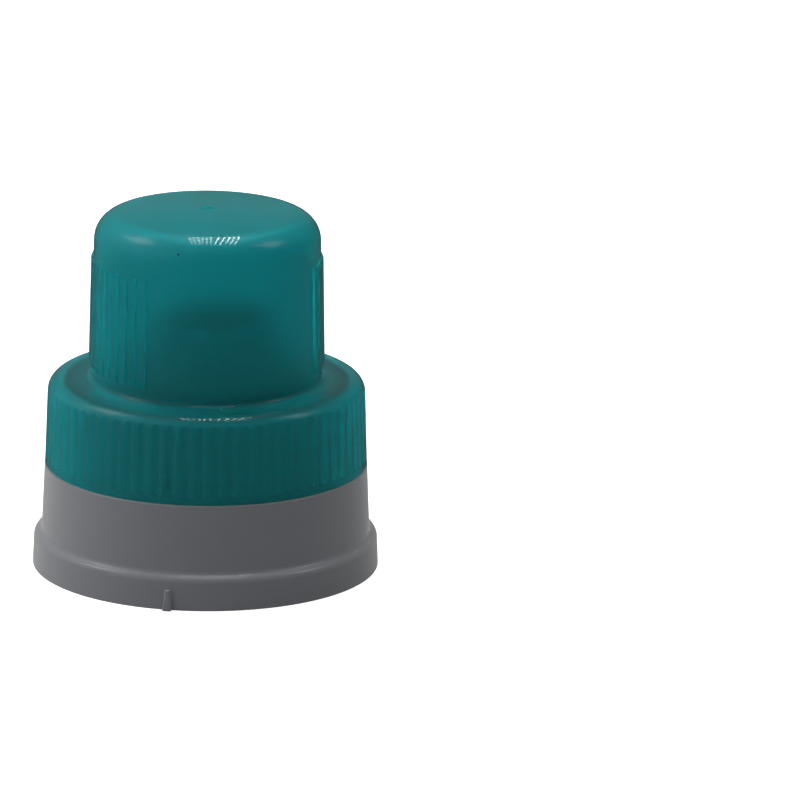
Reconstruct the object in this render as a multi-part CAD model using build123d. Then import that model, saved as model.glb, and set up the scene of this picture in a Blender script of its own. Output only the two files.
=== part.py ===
from build123d import *
from math import acos, atan, cos, degrees, radians, sin
import os

# Two-piece dosing closure with its loose sealing ring. Millimetres, +Z up, z = 0 under the flange.
# Azimuths are measured from the front (-Y) towards the right (+X).

# Collar of the pour spout, outside
collar_radius = 29.15      # at the parting line
collar_height = 18.75      # parting line above the table
collar_draft = 0.55        # how much wider the collar is where it meets the flange
flange_step = 1.35         # flange beyond the foot of the collar
flange_height = 6.1
flange_flare = 0.25        # flange widens towards its lower edge
flange_round = 1.2
flange_cove = 0.9
parting_round = 0.25
parting_inset = 0.05       # cap's rim inside the collar's edge

# Collar, bottle side
mouth_wall = 2.1           # collar wall at the bottle's mouth
mouth_depth = 5.0          # plain guiding bore at the lower edge
mouth_lead = 0.4
snap_depth = 0.7           # snap bead that holds the collar on the bottle
snap_height = 1.8
lug_count = 8
lug_width = 1.2
lug_depth = 0.8
deck_wall = 1.6
neck_room = 5.4            # room for the bottle's neck between the plug and the mouth
plug_wall = 1.3
plug_start = 7.0           # lower tip of the plug seal above the table
plug_lead = 0.5

# Index tick on the flange
tick_azimuth = -12.4
tick_width = 1.6
tick_top_width = 0.9
tick_height = 3.7
tick_proud = 0.9

# Dosing cap, outside
rim_gap = 0.12             # cap rim above the collar
skirt_height = 15.83       # rim to shoulder
skirt_draft = 0.55
rim_band = 1.5             # plain band under the flutes
rim_chamfer = 0.15
shoulder_ease = 2.75       # radius of the shoulder's lower arc, which the flutes run out on
shoulder_turn = 26.0       # degrees of that arc
shoulder_round = 2.6
shoulder_step = 8.2        # skirt rim to the foot of the crown
shoulder_wall = 1.5
crown_height = 31.05       # shoulder to the centre of the top
crown_draft = 0.5
crown_wall = 1.15
crown_edge = 5.0
crown_rise = 0.65          # shallow dome of the top
crown_cove = 0.8
gate_radius = 1.4
gate_depth = 0.25
gate_stub = 0.45

# Grip flutes of the skirt and grip ribs of the crown
flute_count = 68
flute_width = 1.8
flute_depth = 0.2
flute_azimuth = -1.95
flute_lean = 0.1           # degrees beyond the skirt's draft, so flutes deepen upwards
rib_pitch = 6.0
rib_count = 14             # in each flank
flank_count = 2            # gripped flanks of the crown, left and right
rib_azimuth = -33.6        # last rib left of the plain front
rib_width = 1.45
rib_proud = 0.4
rib_start = 2.2            # above the shoulder
rib_end = 22.2

# Screw thread, two starts
skirt_wall = 2.0
thread_depth = 1.25
thread_gap = 0.3           # radial clearance at crest and root
thread_lead = 7.0
thread_starts = 2
thread_turns = 1.25
thread_width = 1.45        # at half depth
thread_slope = 0.6         # added at the root and taken off at the crest
thread_play = 0.15         # flank clearance when tightened
thread_foot = 2.4          # first turn above the collar
thread_azimuth = 40.0
neck_wall = 1.5
neck_chamfer = 0.3

# Seal
seal_wall = 1.0            # thickness of the loose ring
seal_gap = 0.2             # play of the ring in its groove
lip_wall = 1.1
lip_length = 3.4
lip_gap = 0.25

# Pour tube
spout_radius = 11.5        # outside, at the rim
spout_taper = 1.6
spout_wall = 1.2
spout_round = 0.4
spout_height = 26.9        # rim above the parting line
spout_tilt = 2.2           # degrees, rim rises to the pouring side
spout_offset = 1.3
spout_azimuth = 80.0       # pouring side
gutter_wall = 1.4
gutter_drop = 3.0          # fall of the gutter floor to the drain
gutter_top = 3.6           # floor above the parting line at the pouring side
drain_width = 4.0
drain_height = 11.0
overlap = 0.3              # how far joined solids run into each other

# Sizes that follow
collar_foot = collar_radius + collar_draft
flange_radius = collar_foot + flange_step
mouth_radius = collar_foot - mouth_wall
plug_radius = mouth_radius - neck_room
skirt_radius = collar_radius - parting_inset
skirt_slope = skirt_draft / skirt_height
rim_z = collar_height + rim_gap
shoulder_z = rim_z + skirt_height
ceiling_z = shoulder_z - shoulder_wall
neck_top = ceiling_z - seal_wall
top_z = shoulder_z + crown_height
cap_bore = skirt_radius - skirt_wall
cap_crest = cap_bore - thread_depth
neck_radius = cap_crest - thread_gap
neck_bore = neck_radius - neck_wall
lip_radius = neck_bore - lip_gap
crown_foot = skirt_radius - shoulder_step
crown_radius = crown_foot - crown_draft
crown_slope = crown_draft / (crown_height - crown_rise - crown_edge)


def polar(radius, azimuth, z=0.0):
    """Point at a radius and an azimuth from the front."""
    a = radians(azimuth)
    return Vector(radius * sin(a), -radius * cos(a), z)


def facing(radius, azimuth, z=0.0):
    """Location at an azimuth whose X axis points away from the axis."""
    return Location(polar(radius, azimuth, z), (0, 0, azimuth - 90))


def turned(points):
    """Solid of revolution from a closed list of (radius, z) points."""
    return revolve(make_face(Plane.XZ * Polyline(points, close=True)), Axis.Z)


def ring(outer, inner, low, high):
    """Plain ring between two heights."""
    body = Pos(0, 0, (low + high) / 2) * Cylinder(outer, high - low)
    return body - Pos(0, 0, (low + high) / 2) * Cylinder(inner, high - low + 1)


def rims(body, radius, z, tolerance=0.02):
    """Circular edges of a body at one radius and height."""
    found = []
    for edge in body.edges().filter_by(GeomType.CIRCLE):
        if abs(edge.radius - radius) < tolerance and abs(edge.center().Z - z) < tolerance:
            found.append(edge)
    return found


def ridge(root, depth, azimuth, low):
    """One start of the thread, buried in its wall; depth is negative on an inside thread."""
    # the root radius is moved into the wall so that the union is clean
    buried = -overlap if depth > 0 else overlap
    slope = thread_slope / abs(depth)
    path = Helix(thread_lead, thread_lead * thread_turns, root)
    half_root = thread_width / 2 + thread_slope / 2 + slope * overlap
    half_crest = thread_width / 2 - thread_slope / 2
    start = Plane(origin=path @ 0, x_dir=(1, 0, 0), z_dir=path % 0)
    outline = Polyline(
        [(buried, -half_root), (depth, -half_crest), (depth, half_crest), (buried, half_root)],
        close=True,
    )
    body = sweep(start * make_face(outline), path=path, is_frenet=True)
    # both ends are ramped, so that the two threads find each other
    for turn, side in ((0, -1), (thread_turns, 1)):
        angle = 360 * turn
        z = thread_lead * turn
        crest = root + depth
        lean = 55 if depth > 0 else 125
        block = Pos(0, side * 5, 0) * Box(12, 10, 5)
        body -= Pos(crest * cos(radians(angle)), crest * sin(radians(angle)), z) * (
            Rot(0, 0, angle) * (Rot(0, 0, side * (90 - lean)) * (Pos(0, side * -0.9, 0) * block))
        )
    return Pos(0, 0, low) * (Rot(0, 0, azimuth - 90) * body)


def threads(root, depth, azimuth, low):
    """All starts of the thread."""
    return [ridge(root, depth, azimuth + 360 * i / thread_starts, low) for i in range(thread_starts)]


def collar_shell():
    """Outer collar with its flange, the deck and the wall for the bottle's snap bead."""
    inside = mouth_radius
    under = collar_height - deck_wall
    bead = mouth_depth + snap_height
    outside = turned([
        (0, 0), (flange_radius + flange_flare, 0), (flange_radius, flange_height),
        (collar_foot, flange_height), (collar_radius, collar_height), (0, collar_height),
    ])
    outside = fillet(rims(outside, flange_radius, flange_height), flange_round)
    outside = fillet(rims(outside, collar_foot, flange_height), flange_cove)
    outside = fillet(rims(outside, collar_radius, collar_height), parting_round)
    hollow = turned([
        (0, -1), (inside + mouth_lead, -1), (inside + mouth_lead, 0), (inside, mouth_lead),
        (inside, mouth_depth), (inside - snap_depth, mouth_depth + snap_height * 0.45),
        (inside - snap_depth, mouth_depth + snap_height * 0.55), (inside - 0.1, bead),
        (collar_radius - mouth_wall, under), (0, under),
    ])
    return outside - hollow


def lugs():
    """Ribs inside the collar that stop it turning on the bottle."""
    low = mouth_depth + snap_height + 1.2
    high = collar_height - deck_wall + overlap
    outer = collar_radius - mouth_wall + overlap
    inner = collar_radius - mouth_wall - lug_depth
    rib = Box(outer - inner, lug_width, high - low)
    middle = (outer + inner) / 2
    return [facing(middle, 22.5 + 360 * i / lug_count, (low + high) / 2) * rib for i in range(lug_count)]


def plug():
    """Plug seal that enters the bottle, hung from the deck."""
    high = collar_height - deck_wall + overlap
    return turned([
        (plug_radius - plug_wall, plug_start), (plug_radius - plug_lead, plug_start),
        (plug_radius, plug_start + 2 * plug_lead), (plug_radius, high), (plug_radius - plug_wall, high),
    ])


def neck():
    """Plain wall that carries the outside thread."""
    body = ring(neck_radius, neck_bore, collar_height - overlap, neck_top)
    return chamfer(rims(body, neck_radius, neck_top), neck_chamfer)


def gutter_plane():
    """Middle plane of the sloping gutter floor."""
    slope = degrees(atan(gutter_drop / (2 * neck_bore)))
    middle = collar_height + gutter_top - gutter_drop / 2 - gutter_wall / 2
    return Pos(0, 0, middle) * (Rot(0, 0, spout_azimuth - 90) * Rot(0, -slope, 0))


def gutter():
    """Sloping floor between the neck and the tube, on a ring that reaches down to the plug."""
    span = 4 * neck_bore
    core = Pos(0, 0, collar_height) * Cylinder(neck_bore + overlap, 2 * neck_top)
    floor = core & (gutter_plane() * Box(span, span, gutter_wall))
    foot = ring(neck_bore + overlap, plug_radius - plug_wall, collar_height - deck_wall, neck_top)
    return floor + (foot - gutter_plane() * (Pos(0, 0, 20) * Box(span, span, 40)))


def tube_cone(radius, low, high):
    """Tapered core of the pour tube for a radius given at the rim."""
    middle = (low + high) / 2
    base = radius + spout_taper
    return Location(polar(spout_offset, spout_azimuth, middle)) * Cone(base, radius, high - low)


def rim_plane():
    """Slightly tilted plane that trims the pour rim."""
    high = collar_height + spout_height
    return Pos(polar(spout_offset, spout_azimuth, high)) * (
        Rot(0, 0, spout_azimuth - 90) * Rot(0, -spout_tilt, 0)
    )


def tube_outside():
    """Outer form of the pour tube with its rounded rim."""
    low = collar_height - deck_wall
    high = collar_height + spout_height
    body = tube_cone(spout_radius, low, high + 2)
    body -= rim_plane() * (Pos(0, 0, 10) * Box(60, 60, 20))
    return fillet(body.faces().sort_by(Axis.Z)[-1].edges(), spout_round)


def tube_bore():
    """Free way through the pour tube, from the bottle to the rim."""
    low = collar_height - deck_wall
    high = collar_height + spout_height
    way = tube_cone(spout_radius - spout_wall, low, high + 2)
    return way + Location(polar(spout_offset, spout_azimuth, low - 5)) * (
        Cylinder(spout_radius - spout_wall + spout_taper, 10.01)
    )


def drain():
    """Slot in the low side of the tube that lets the gutter run back."""
    low = collar_height + gutter_top - gutter_drop - 0.4
    reach = spout_radius + spout_taper
    post = Box(reach, drain_width, drain_height)
    post = fillet(post.edges().filter_by(Axis.X).sort_by(Axis.Z)[-2:], drain_width * 0.45)
    middle = reach / 2 + spout_radius * 0.35
    return Location(polar(spout_offset, spout_azimuth)) * (
        facing(middle, spout_azimuth + 180, low + drain_height / 2) * post
    )


def tick():
    """Moulded index mark on the flange, seen left of the front."""
    deep = overlap + flange_flare
    shallow = deep + tick_proud / 2
    foot = Pos(0, -(deep + tick_proud) / 2, 0) * Rectangle(tick_width, deep + tick_proud)
    head = Pos(0, -shallow / 2, tick_height) * Rectangle(tick_top_width, shallow)
    body = loft([foot, head])
    body = fillet(body.edges().filter_by(lambda e: e.center().Y < -deep and e.center().Z > 0.1), 0.3)
    return Location(polar(flange_radius - overlap, tick_azimuth), (0, 0, tick_azimuth)) * body


def pour_spout():
    """Grey piece: collar, bottle seal, neck with thread, gutter and pour tube in one moulding."""
    first = collar_height + thread_foot
    body = collar_shell()
    body -= Pos(0, 0, collar_height - deck_wall / 2) * Cylinder(plug_radius - plug_wall, deck_wall + 1)
    body += [*lugs(), plug(), tick(), gutter(), tube_outside()]
    body -= tube_bore()
    body -= drain()
    body += [neck(), *threads(neck_radius, thread_depth, thread_azimuth, first)]
    return body


def crown_form(inset, low):
    """Crown from its foot to a rounded edge and a shallow dome, offset inwards by a wall."""
    high = top_z - inset
    edge = crown_edge - inset
    side = high - crown_rise - edge
    radius = crown_radius - inset
    inner = radius - edge
    sphere = (inner ** 2 + crown_rise ** 2) / (2 * crown_rise)
    start = degrees(acos(inner / sphere))
    lines = [
        Line((0, low), (crown_foot - inset, low)),
        Line((crown_foot - inset, low), (crown_foot - inset, shoulder_z)),
        Line((crown_foot - inset, shoulder_z), (radius, side)),
        TangentArc((radius, side), (inner, side + edge), tangent=(0, 1)),
        CenterArc((0, high - sphere), sphere, start, 90 - start),
        Line((0, high), (0, low)),
    ]
    return revolve(Plane.XZ * make_face(Curve() + lines), Axis.Z)


def crown_ribs():
    """Grip ribs on the two flanks of the crown, ramped at the foot and cut off square at the top."""
    low = shoulder_z + rib_start
    high = shoulder_z + rib_end
    wide = crown_foot - crown_slope * rib_start
    thin = crown_foot - crown_slope * rib_end
    outline = Polyline([
        (wide - overlap, low), (wide, low), (wide + rib_proud, low + 3 * rib_proud),
        (thin + rib_proud, high), (thin - overlap, high),
    ], close=True)
    rib = extrude(Plane.XZ * make_face(outline), rib_width / 2, both=True)
    found = []
    for flank in range(flank_count):
        for i in range(rib_count):
            azimuth = rib_azimuth - rib_pitch * i + 360 * flank / flank_count
            found.append(facing(0, azimuth) * rib)
    return found


def skirt_outside():
    """Outer form of the skirt up to its shoulder, which is rounded in two arcs."""
    lean = atan(skirt_slope)
    turn = lean + radians(shoulder_turn)
    rounded = shoulder_ease * (sin(turn) - sin(lean)) + shoulder_round * (1 - sin(turn))
    top = shoulder_z - rounded
    foot = Line((skirt_radius - rim_chamfer, rim_z), (skirt_radius, rim_z + rim_chamfer))
    wall = Line(foot @ 1, (skirt_radius - skirt_slope * (top - rim_z - rim_chamfer), top))
    ease = JernArc(wall @ 1, wall % 1, shoulder_ease, shoulder_turn)
    edge = JernArc(ease @ 1, ease % 1, shoulder_round, 90 - degrees(turn))
    close = Polyline([edge @ 1, (0, shoulder_z), (0, rim_z), foot @ 0])
    return revolve(Plane.XZ * make_face(Curve() + [foot, wall, ease, edge, close]), Axis.Z)


def flute_tools():
    """Straight scallop cutters round the skirt, open at the shoulder."""
    low = rim_z + rim_band
    high = shoulder_z + 1
    tool_radius = (flute_width ** 2 / 4 + flute_depth ** 2) / (2 * flute_depth)
    lean = degrees(atan(skirt_slope)) + flute_lean
    level = skirt_radius - skirt_slope * rim_band
    tool = Rot(0, -lean, 0) * (Pos(0, 0, (high - low) / 2) * Cylinder(tool_radius, high - low))
    reach = level - flute_depth + tool_radius
    step = 360 / flute_count
    return [facing(reach, flute_azimuth + step * i, low) * tool for i in range(flute_count)]


def gate():
    """Shallow dish of the injection gate in the centre of the top."""
    return Pos(0, 0, top_z) * Cylinder(gate_radius, 2 * gate_depth)


def cap_outside():
    """Skirt, shoulder and crown before hollowing."""
    body = skirt_outside() + crown_form(0, shoulder_z - 1)
    return fillet(rims(body, crown_foot, shoulder_z), crown_cove)


def cap_inside():
    """Hollow of the cap: threaded skirt and dosing cup."""
    low = turned([(0, rim_z - 1), (cap_bore, rim_z - 1), (cap_bore, ceiling_z), (0, ceiling_z)])
    return low + crown_form(crown_wall, ceiling_z - 1)


def sealing_lip():
    """Ring under the shoulder that enters the spout's neck and keeps the seal in place."""
    low = ceiling_z - lip_length
    body = ring(lip_radius, lip_radius - lip_wall, low, ceiling_z + overlap)
    return chamfer(rims(body, lip_radius, low), lip_wall * 0.4)


def dosing_cap():
    """Teal piece: skirt with inside thread and domed dosing crown in one moulding."""
    # the cap's ridge lies under the neck's ridge and starts a sixth of a turn round from it
    shift = -60.0
    pitch = thread_lead / thread_starts
    tight = thread_width + thread_play
    first = collar_height + thread_foot - tight + thread_lead * shift / 360 + pitch
    body = cap_outside() + crown_ribs()
    tools = flute_tools()
    # neighbouring cutters overlap outside the skirt, so every second one goes first
    body -= tools[0::2]
    body -= tools[1::2]
    body -= gate()
    body += Pos(0, 0, top_z - gate_depth / 2) * Cylinder(gate_stub, gate_depth)
    body -= cap_inside()
    return body + [sealing_lip(), *threads(cap_bore, -thread_depth, thread_azimuth + shift, first)]


def seal_ring():
    """Loose ring between the neck's rim and the underside of the shoulder."""
    outer = cap_crest - seal_gap
    inner = lip_radius + seal_gap
    return ring(outer, inner, neck_top, ceiling_z)


def main():
    os.makedirs("parts", exist_ok=True)
    pieces = {"pour_spout": pour_spout(), "dosing_cap": dosing_cap(), "seal_ring": seal_ring()}
    for name, shape in pieces.items():
        solids = shape.solids()
        print(name, len(solids), "solid", round(shape.volume, 1), "mm3", shape.is_valid)
        shape = solids[0] if len(solids) == 1 else shape
        shape.label = name
        export_step(shape, f"parts/{name}.step")


main()
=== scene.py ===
import bpy, bmesh
from math import atan2, radians, sin, cos
from mathutils import Matrix, Vector

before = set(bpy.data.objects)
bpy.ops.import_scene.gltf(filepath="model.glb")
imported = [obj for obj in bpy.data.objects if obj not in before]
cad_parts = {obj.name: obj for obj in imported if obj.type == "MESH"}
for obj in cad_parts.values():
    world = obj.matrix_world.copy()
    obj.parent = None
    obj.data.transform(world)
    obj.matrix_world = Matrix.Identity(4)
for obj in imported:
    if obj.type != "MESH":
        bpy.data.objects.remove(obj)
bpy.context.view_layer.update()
scene = bpy.context.scene

# Viewpoint: a long lens a little over a metre away, sixteen degrees above the table.
# The closure stands left of the picture's middle, so the lens is turned past it to the right.
picture = 800
lens_px = 7353.0
elevation = radians(15.77)
distance = 1.327
aim = Vector((0, 0, 0.030))
aim_px = Vector((206.5, 400.73))
roll = radians(0.39)
back = Vector((0, -cos(elevation), sin(elevation)))
straight = Matrix(((1, 0, 0), (0, sin(elevation), cos(elevation)), back)).transposed()
seen = Vector((aim_px.x - picture / 2, picture / 2 - aim_px.y, -lens_px)).normalized()
turn = seen.rotation_difference(Vector((0, 0, -1))).to_matrix()
camera_data = bpy.data.cameras.new("camera")
camera_data.sensor_width = 36
camera_data.lens = 36 * lens_px / picture
camera_data.clip_start = 0.05
camera_data.clip_end = 20
camera = bpy.data.objects.new("camera", camera_data)
camera.matrix_world = Matrix.Translation(aim + back * distance) @ (
    straight @ Matrix.Rotation(roll, 3, "Z") @ turn
).to_4x4()
scene.collection.objects.link(camera)
scene.camera = camera

# Table top: one large pale sheet that the closure stands on. It shows white to the lens
# and keeps the closure's soft shadow.
mesh = bmesh.new()
bmesh.ops.create_grid(mesh, x_segments=1, y_segments=1, size=6)
table_mesh = bpy.data.meshes.new("table_top")
mesh.to_mesh(table_mesh)
mesh.free()
table = bpy.data.objects.new("table_top", table_mesh)
scene.collection.objects.link(table)
white = bpy.data.materials.new("pale_table")
white.use_nodes = True
tree = white.node_tree
principled = tree.nodes["Principled BSDF"]
principled.inputs["Roughness"].default_value = 0.8
principled.inputs["Specular IOR Level"].default_value = 0.1


def colour_mix(tree, factor, low, high):
    """Colour that is low where the factor is 0 and high where it is 1."""
    mix = tree.nodes.new("ShaderNodeMix")
    mix.data_type = "RGBA"
    tree.links.new(factor, mix.inputs[0])
    # sockets 6 and 7 are the two colours, and 2 is the mixed one
    for socket, colour in ((mix.inputs[6], low), (mix.inputs[7], high)):
        if isinstance(colour, tuple):
            socket.default_value = colour
        else:
            tree.links.new(colour, socket)
    return mix.outputs[2]


# white to the lens, dimmer through the cap, nearly black in the gloss,
# and dim in the light it throws back
path = tree.nodes.new("ShaderNodeLightPath")
paint = (0.25, 0.25, 0.25, 1)
for ray, grey in (("Is Glossy Ray", 0.02), ("Is Transmission Ray", 0.3), ("Is Camera Ray", 0.8)):
    paint = colour_mix(tree, path.outputs[ray], paint, (grey, grey, grey, 1))
tree.links.new(paint, principled.inputs["Base Color"])
# the sheet also gives off light of its own: white to the lens as a plain backdrop, almost none
# in the gloss, and a painted glow seen through the cap that brightens the crown from behind
glow = None
for ray, strength in (
    ("Is Camera Ray", 0.62),
    ("Is Glossy Ray", 0.02),
    ("Is Transmission Ray", 0.95),
):
    share = tree.nodes.new("ShaderNodeMath")
    share.operation = "MULTIPLY_ADD"
    share.inputs[1].default_value = strength
    share.inputs[2].default_value = 0.0
    tree.links.new(path.outputs[ray], share.inputs[0])
    if glow:
        tree.links.new(glow, share.inputs[2])
    glow = share.outputs[0]
principled.inputs["Emission Color"].default_value = (1, 1, 1, 1)
tree.links.new(glow, principled.inputs["Emission Strength"])
table_mesh.materials.append(white)

# Studio light: a white room, brightest behind and to the left, a lamp of long tubes
# overhead, and a soft box on either side with a brighter core.
scene.view_settings.view_transform = "Standard"
world = bpy.data.worlds.new("white_room")
scene.world = world
world.use_nodes = True
tree = world.node_tree
background = tree.nodes["Background"]
background.inputs["Color"].default_value = (1, 1, 1, 1)
path = tree.nodes.new("ShaderNodeLightPath")
coords = tree.nodes.new("ShaderNodeTexCoord")


def room_level(towards, start, end, near, far):
    """Strength of the room for one kind of ray, rising from near to far in one direction."""
    along = tree.nodes.new("ShaderNodeVectorMath")
    along.operation = "DOT_PRODUCT"
    along.inputs[1].default_value = Vector(towards).normalized()
    tree.links.new(coords.outputs["Generated"], along.inputs[0])
    level = tree.nodes.new("ShaderNodeMapRange")
    level.interpolation_type = "SMOOTHSTEP"
    level.inputs["From Min"].default_value = start
    level.inputs["From Max"].default_value = end
    level.inputs["To Min"].default_value = near
    level.inputs["To Max"].default_value = far
    tree.links.new(along.outputs["Value"], level.inputs["Value"])
    return level.outputs["Result"]


strength = room_level((-0.80, 0.60, -0.10), -0.7, 1.0, 0.60, 2.4)
for ray, level in (
    ("Is Glossy Ray", room_level((0, 1, -0.05), 0.915, 0.96, 0.02, 0.07)),
    ("Is Transmission Ray", room_level((-0.60, 0.75, 0.25), -0.8, 1.0, 0.8, 2.5)),
    ("Is Camera Ray", None),
):
    choice = tree.nodes.new("ShaderNodeMix")
    tree.links.new(path.outputs[ray], choice.inputs[0])
    tree.links.new(strength, choice.inputs[2])
    if level:
        tree.links.new(level, choice.inputs[3])
    else:
        choice.inputs[3].default_value = 1.0  # plain white to the lens
    strength = choice.outputs[0]
tree.links.new(strength, background.inputs["Strength"])


def area_lamp(name, place, facing, wide, high, power):
    """Rectangular lamp at a place, turned by a matrix from looking straight down."""
    data = bpy.data.lights.new(name, "AREA")
    data.shape = "RECTANGLE"
    data.size = wide
    data.size_y = high
    data.energy = power
    lamp = bpy.data.objects.new(name, data)
    lamp.matrix_world = Matrix.Translation(place) @ facing
    scene.collection.objects.link(lamp)


for name, place, wide, high, power in (
    ("box_left", (-0.66, 0.17, 0.80), 0.55, 0.40, 0.36),
    ("box_left_core", (-0.65, 0.165, 0.79), 0.32, 0.22, 0.16),
    ("box_right", (0.70, 0.01, 0.78), 0.42, 0.44, 0.24),
    ("box_right_core", (0.69, 0.01, 0.77), 0.24, 0.24, 0.10),
):
    place = Vector(place)
    facing = (place - aim).to_track_quat("Z", "Y").to_matrix().to_4x4()
    area_lamp(name, place, facing, wide, high, power)

# the lamp overhead has six tubes on its left and five brighter, slanted ones on its right,
# all of them drawn together towards the rear: the two spreads turn a tube's place in the
# row into metres from the middle, at its front end and at its rear end
lamp_z = 0.93
lamp_front_y = -0.08
lamp_rear_y = 0.66
front_spread = 0.0092
rear_spread = 0.0043
for side, count, front, front_step, rear, rear_step, wide, power in (
    ("left", 6, -14.8, 3.5, -19.0, 4.5, 0.010, 0.14),
    ("right", 5, 7.6, 4.9, 12.6, 5.1, 0.009, 0.24),
):
    for i in range(count):
        front_end = Vector((front_spread * (front + front_step * i), lamp_front_y, lamp_z))
        rear_end = Vector((rear_spread * (rear + rear_step * i), lamp_rear_y, lamp_z))
        run = rear_end - front_end
        facing = Matrix.Rotation(atan2(-run.x, run.y), 4, "Z")
        middle = (front_end + rear_end) / 2
        area_lamp("tube_%s_%d" % (side, i), middle, facing, wide, run.length, power)

# Moulded plastic, shared by both mouldings: faint cloudy flow in the colour,
# a fine mould texture in the gloss, and a very slight waviness of the surface.
moulded = bpy.data.node_groups.new("moulded_plastic", "ShaderNodeTree")
for name, kind, value in (
    ("Colour", "NodeSocketColor", (0.5, 0.5, 0.5, 1)),
    ("Cloud", "NodeSocketFloat", 0.05),
    ("Gloss Low", "NodeSocketFloat", 0.3),
    ("Gloss High", "NodeSocketFloat", 0.4),
    ("Wave", "NodeSocketFloat", 0.05),
):
    socket = moulded.interface.new_socket(name, in_out="INPUT", socket_type=kind)
    socket.default_value = value
for name, kind in (
    ("Colour", "NodeSocketColor"),
    ("Roughness", "NodeSocketFloat"),
    ("Normal", "NodeSocketVector"),
):
    moulded.interface.new_socket(name, in_out="OUTPUT", socket_type=kind)
taken = moulded.nodes.new("NodeGroupInput")
given = moulded.nodes.new("NodeGroupOutput")
coords = moulded.nodes.new("ShaderNodeTexCoord")
flow = moulded.nodes.new("ShaderNodeTexNoise")
flow.inputs["Scale"].default_value = 70
flow.inputs["Detail"].default_value = 3
grain = moulded.nodes.new("ShaderNodeTexNoise")
grain.inputs["Scale"].default_value = 2600
grain.inputs["Detail"].default_value = 2
ripple = moulded.nodes.new("ShaderNodeTexNoise")
ripple.inputs["Scale"].default_value = 160
ripple.inputs["Detail"].default_value = 1
cloud = moulded.nodes.new("ShaderNodeHueSaturation")
swing = moulded.nodes.new("ShaderNodeMath")
swing.operation = "MULTIPLY_ADD"
centre = moulded.nodes.new("ShaderNodeMath")
centre.operation = "SUBTRACT"
centre.inputs[1].default_value = 0.5
gloss = moulded.nodes.new("ShaderNodeMapRange")
bump = moulded.nodes.new("ShaderNodeBump")
bump.inputs["Distance"].default_value = 0.0004
link = moulded.links.new
for texture in (flow, grain, ripple):
    link(coords.outputs["Object"], texture.inputs["Vector"])
link(flow.outputs["Fac"], centre.inputs[0])
link(centre.outputs[0], swing.inputs[0])
link(taken.outputs["Cloud"], swing.inputs[1])
swing.inputs[2].default_value = 1.0
link(swing.outputs[0], cloud.inputs["Value"])
link(taken.outputs["Colour"], cloud.inputs["Color"])
link(cloud.outputs["Color"], given.inputs["Colour"])
link(grain.outputs["Fac"], gloss.inputs["Value"])
link(taken.outputs["Gloss Low"], gloss.inputs["To Min"])
link(taken.outputs["Gloss High"], gloss.inputs["To Max"])
link(gloss.outputs["Result"], given.inputs["Roughness"])
link(ripple.outputs["Fac"], bump.inputs["Height"])
link(taken.outputs["Wave"], bump.inputs["Strength"])
link(bump.outputs["Normal"], given.inputs["Normal"])


def plastic(name, colour, cloud, gloss_low, gloss_high, wave):
    """Material with the moulded plastic group wired to its shader; gives all three back."""
    material = bpy.data.materials.new(name)
    material.use_nodes = True
    tree = material.node_tree
    shader = tree.nodes["Principled BSDF"]
    group = tree.nodes.new("ShaderNodeGroup")
    group.node_tree = moulded
    group.inputs["Colour"].default_value = (*colour, 1)
    group.inputs["Cloud"].default_value = cloud
    group.inputs["Gloss Low"].default_value = gloss_low
    group.inputs["Gloss High"].default_value = gloss_high
    group.inputs["Wave"].default_value = wave
    tree.links.new(group.outputs["Colour"], shader.inputs["Base Color"])
    tree.links.new(group.outputs["Roughness"], shader.inputs["Roughness"])
    tree.links.new(group.outputs["Normal"], shader.inputs["Normal"])
    return material, shader, group


def dress(node, material):
    """Gives a frame node one material."""
    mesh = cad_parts[node].data
    mesh.materials.clear()
    mesh.materials.append(material)


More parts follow.
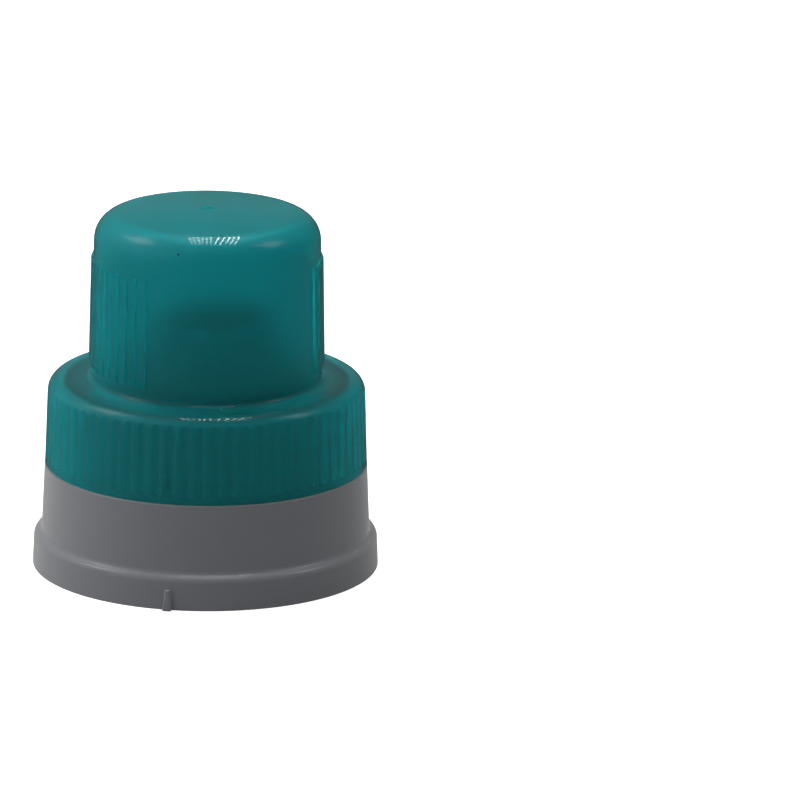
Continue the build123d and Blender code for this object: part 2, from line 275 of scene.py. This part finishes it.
# Pour spout: grey polyethylene, one moulding with the collar, the flange, the neck
# and the pour tube, pressed on the bottle. Satin, a little waxy, with soft highlights
# along the flange.
grey, shader, group = plastic(
    "grey_polyethylene",
    colour=(0.155, 0.160, 0.177),
    cloud=0.06,
    gloss_low=0.31,
    gloss_high=0.35,
    wave=0.05,
)
shader.inputs["Specular IOR Level"].default_value = 1.0
shader.inputs["Subsurface Weight"].default_value = 0.12
shader.inputs["Subsurface Radius"].default_value = (1.0, 1.0, 1.0)
shader.inputs["Subsurface Scale"].default_value = 0.0012
shader.inputs["Coat Weight"].default_value = 1.0
shader.inputs["Coat Roughness"].default_value = 0.06
shader.inputs["Sheen Weight"].default_value = 0.5
shader.inputs["Sheen Roughness"].default_value = 0.5
dress("pour_spout", grey)

# Seal ring: foamed polyethylene, cut from sheet, loose under the cap's shoulder.
# Off-white and dull, with an uneven skin.
foam, shader, group = plastic(
    "seal_foam",
    colour=(0.72, 0.72, 0.69),
    cloud=0.12,
    gloss_low=0.75,
    gloss_high=0.9,
    wave=0.4,
)
dress("seal_ring", foam)

# Dosing cap: translucent teal polypropylene, one moulding with its skirt, thread,
# shoulder and crown, screwed on the neck. Glossy outside, cloudy within; the pour tube
# shows through the crown as a darker arch.
teal, shader, group = plastic(
    "teal_polypropylene",
    colour=(0.006, 0.37, 0.395),
    cloud=0.05,
    gloss_low=0.34,
    gloss_high=0.40,
    wave=0.05,
)
shader.inputs["Subsurface Weight"].default_value = 1.0
shader.inputs["Subsurface Radius"].default_value = (0.3, 1.0, 1.0)
shader.inputs["Subsurface Scale"].default_value = 0.003
shader.inputs["Transmission Weight"].default_value = 0.82
shader.inputs["IOR"].default_value = 1.3
shader.inputs["Specular IOR Level"].default_value = 0.015
shader.inputs["Coat Weight"].default_value = 1.0
shader.inputs["Coat Roughness"].default_value = 0.03
shader.inputs["Coat IOR"].default_value = 1.49
# one dark speck in the plastic, low on the crown's rounded edge, left of the front
speck_place = (-0.00514, -0.01924, 0.06225)
speck_core = 0.00012
speck_radius = 0.00030
tree = teal.node_tree
coords = tree.nodes.new("ShaderNodeTexCoord")
away = tree.nodes.new("ShaderNodeVectorMath")
away.operation = "DISTANCE"
away.inputs[1].default_value = speck_place
tree.links.new(coords.outputs["Object"], away.inputs[0])
edge = tree.nodes.new("ShaderNodeMapRange")
edge.inputs["From Min"].default_value = speck_core
edge.inputs["From Max"].default_value = speck_radius
tree.links.new(away.outputs["Value"], edge.inputs["Value"])
specked = colour_mix(
    tree, edge.outputs["Result"], (0.001, 0.004, 0.008, 1), group.outputs["Colour"]
)
tree.links.new(specked, shader.inputs["Base Color"])
dress("dosing_cap", teal)
